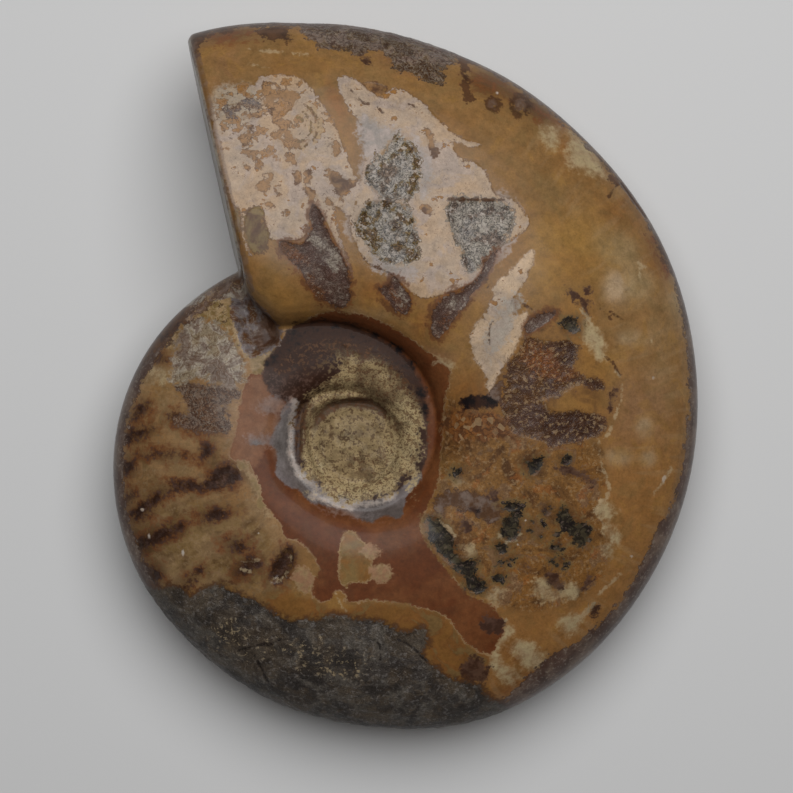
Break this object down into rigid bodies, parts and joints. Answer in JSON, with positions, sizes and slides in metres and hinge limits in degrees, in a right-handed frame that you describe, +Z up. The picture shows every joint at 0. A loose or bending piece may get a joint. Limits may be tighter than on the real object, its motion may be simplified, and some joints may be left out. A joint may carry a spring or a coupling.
{
  "type": "fossil ammonite",
  "caption": "Polished fossil ammonite, a flat coiled shell with a cut mouth, a deep umbilicus and druse-filled hollows, lying on one flank.",
  "frame": {"origin": "on the surface it lies on, under the middle of the outline", "axes": "+Z up out of the upper flank, +Y towards the outer edge at the mouth's end, +X so that the mouth faces -X"},
  "size_m": [0.0818, 0.0986, 0.0287],
  "materials": {
    "polished_shell": "polished amber and brown calcite"
  },
  "bodies": {
    "root": {"ammonite": "polished_shell"}
  },
  "joints": []
}
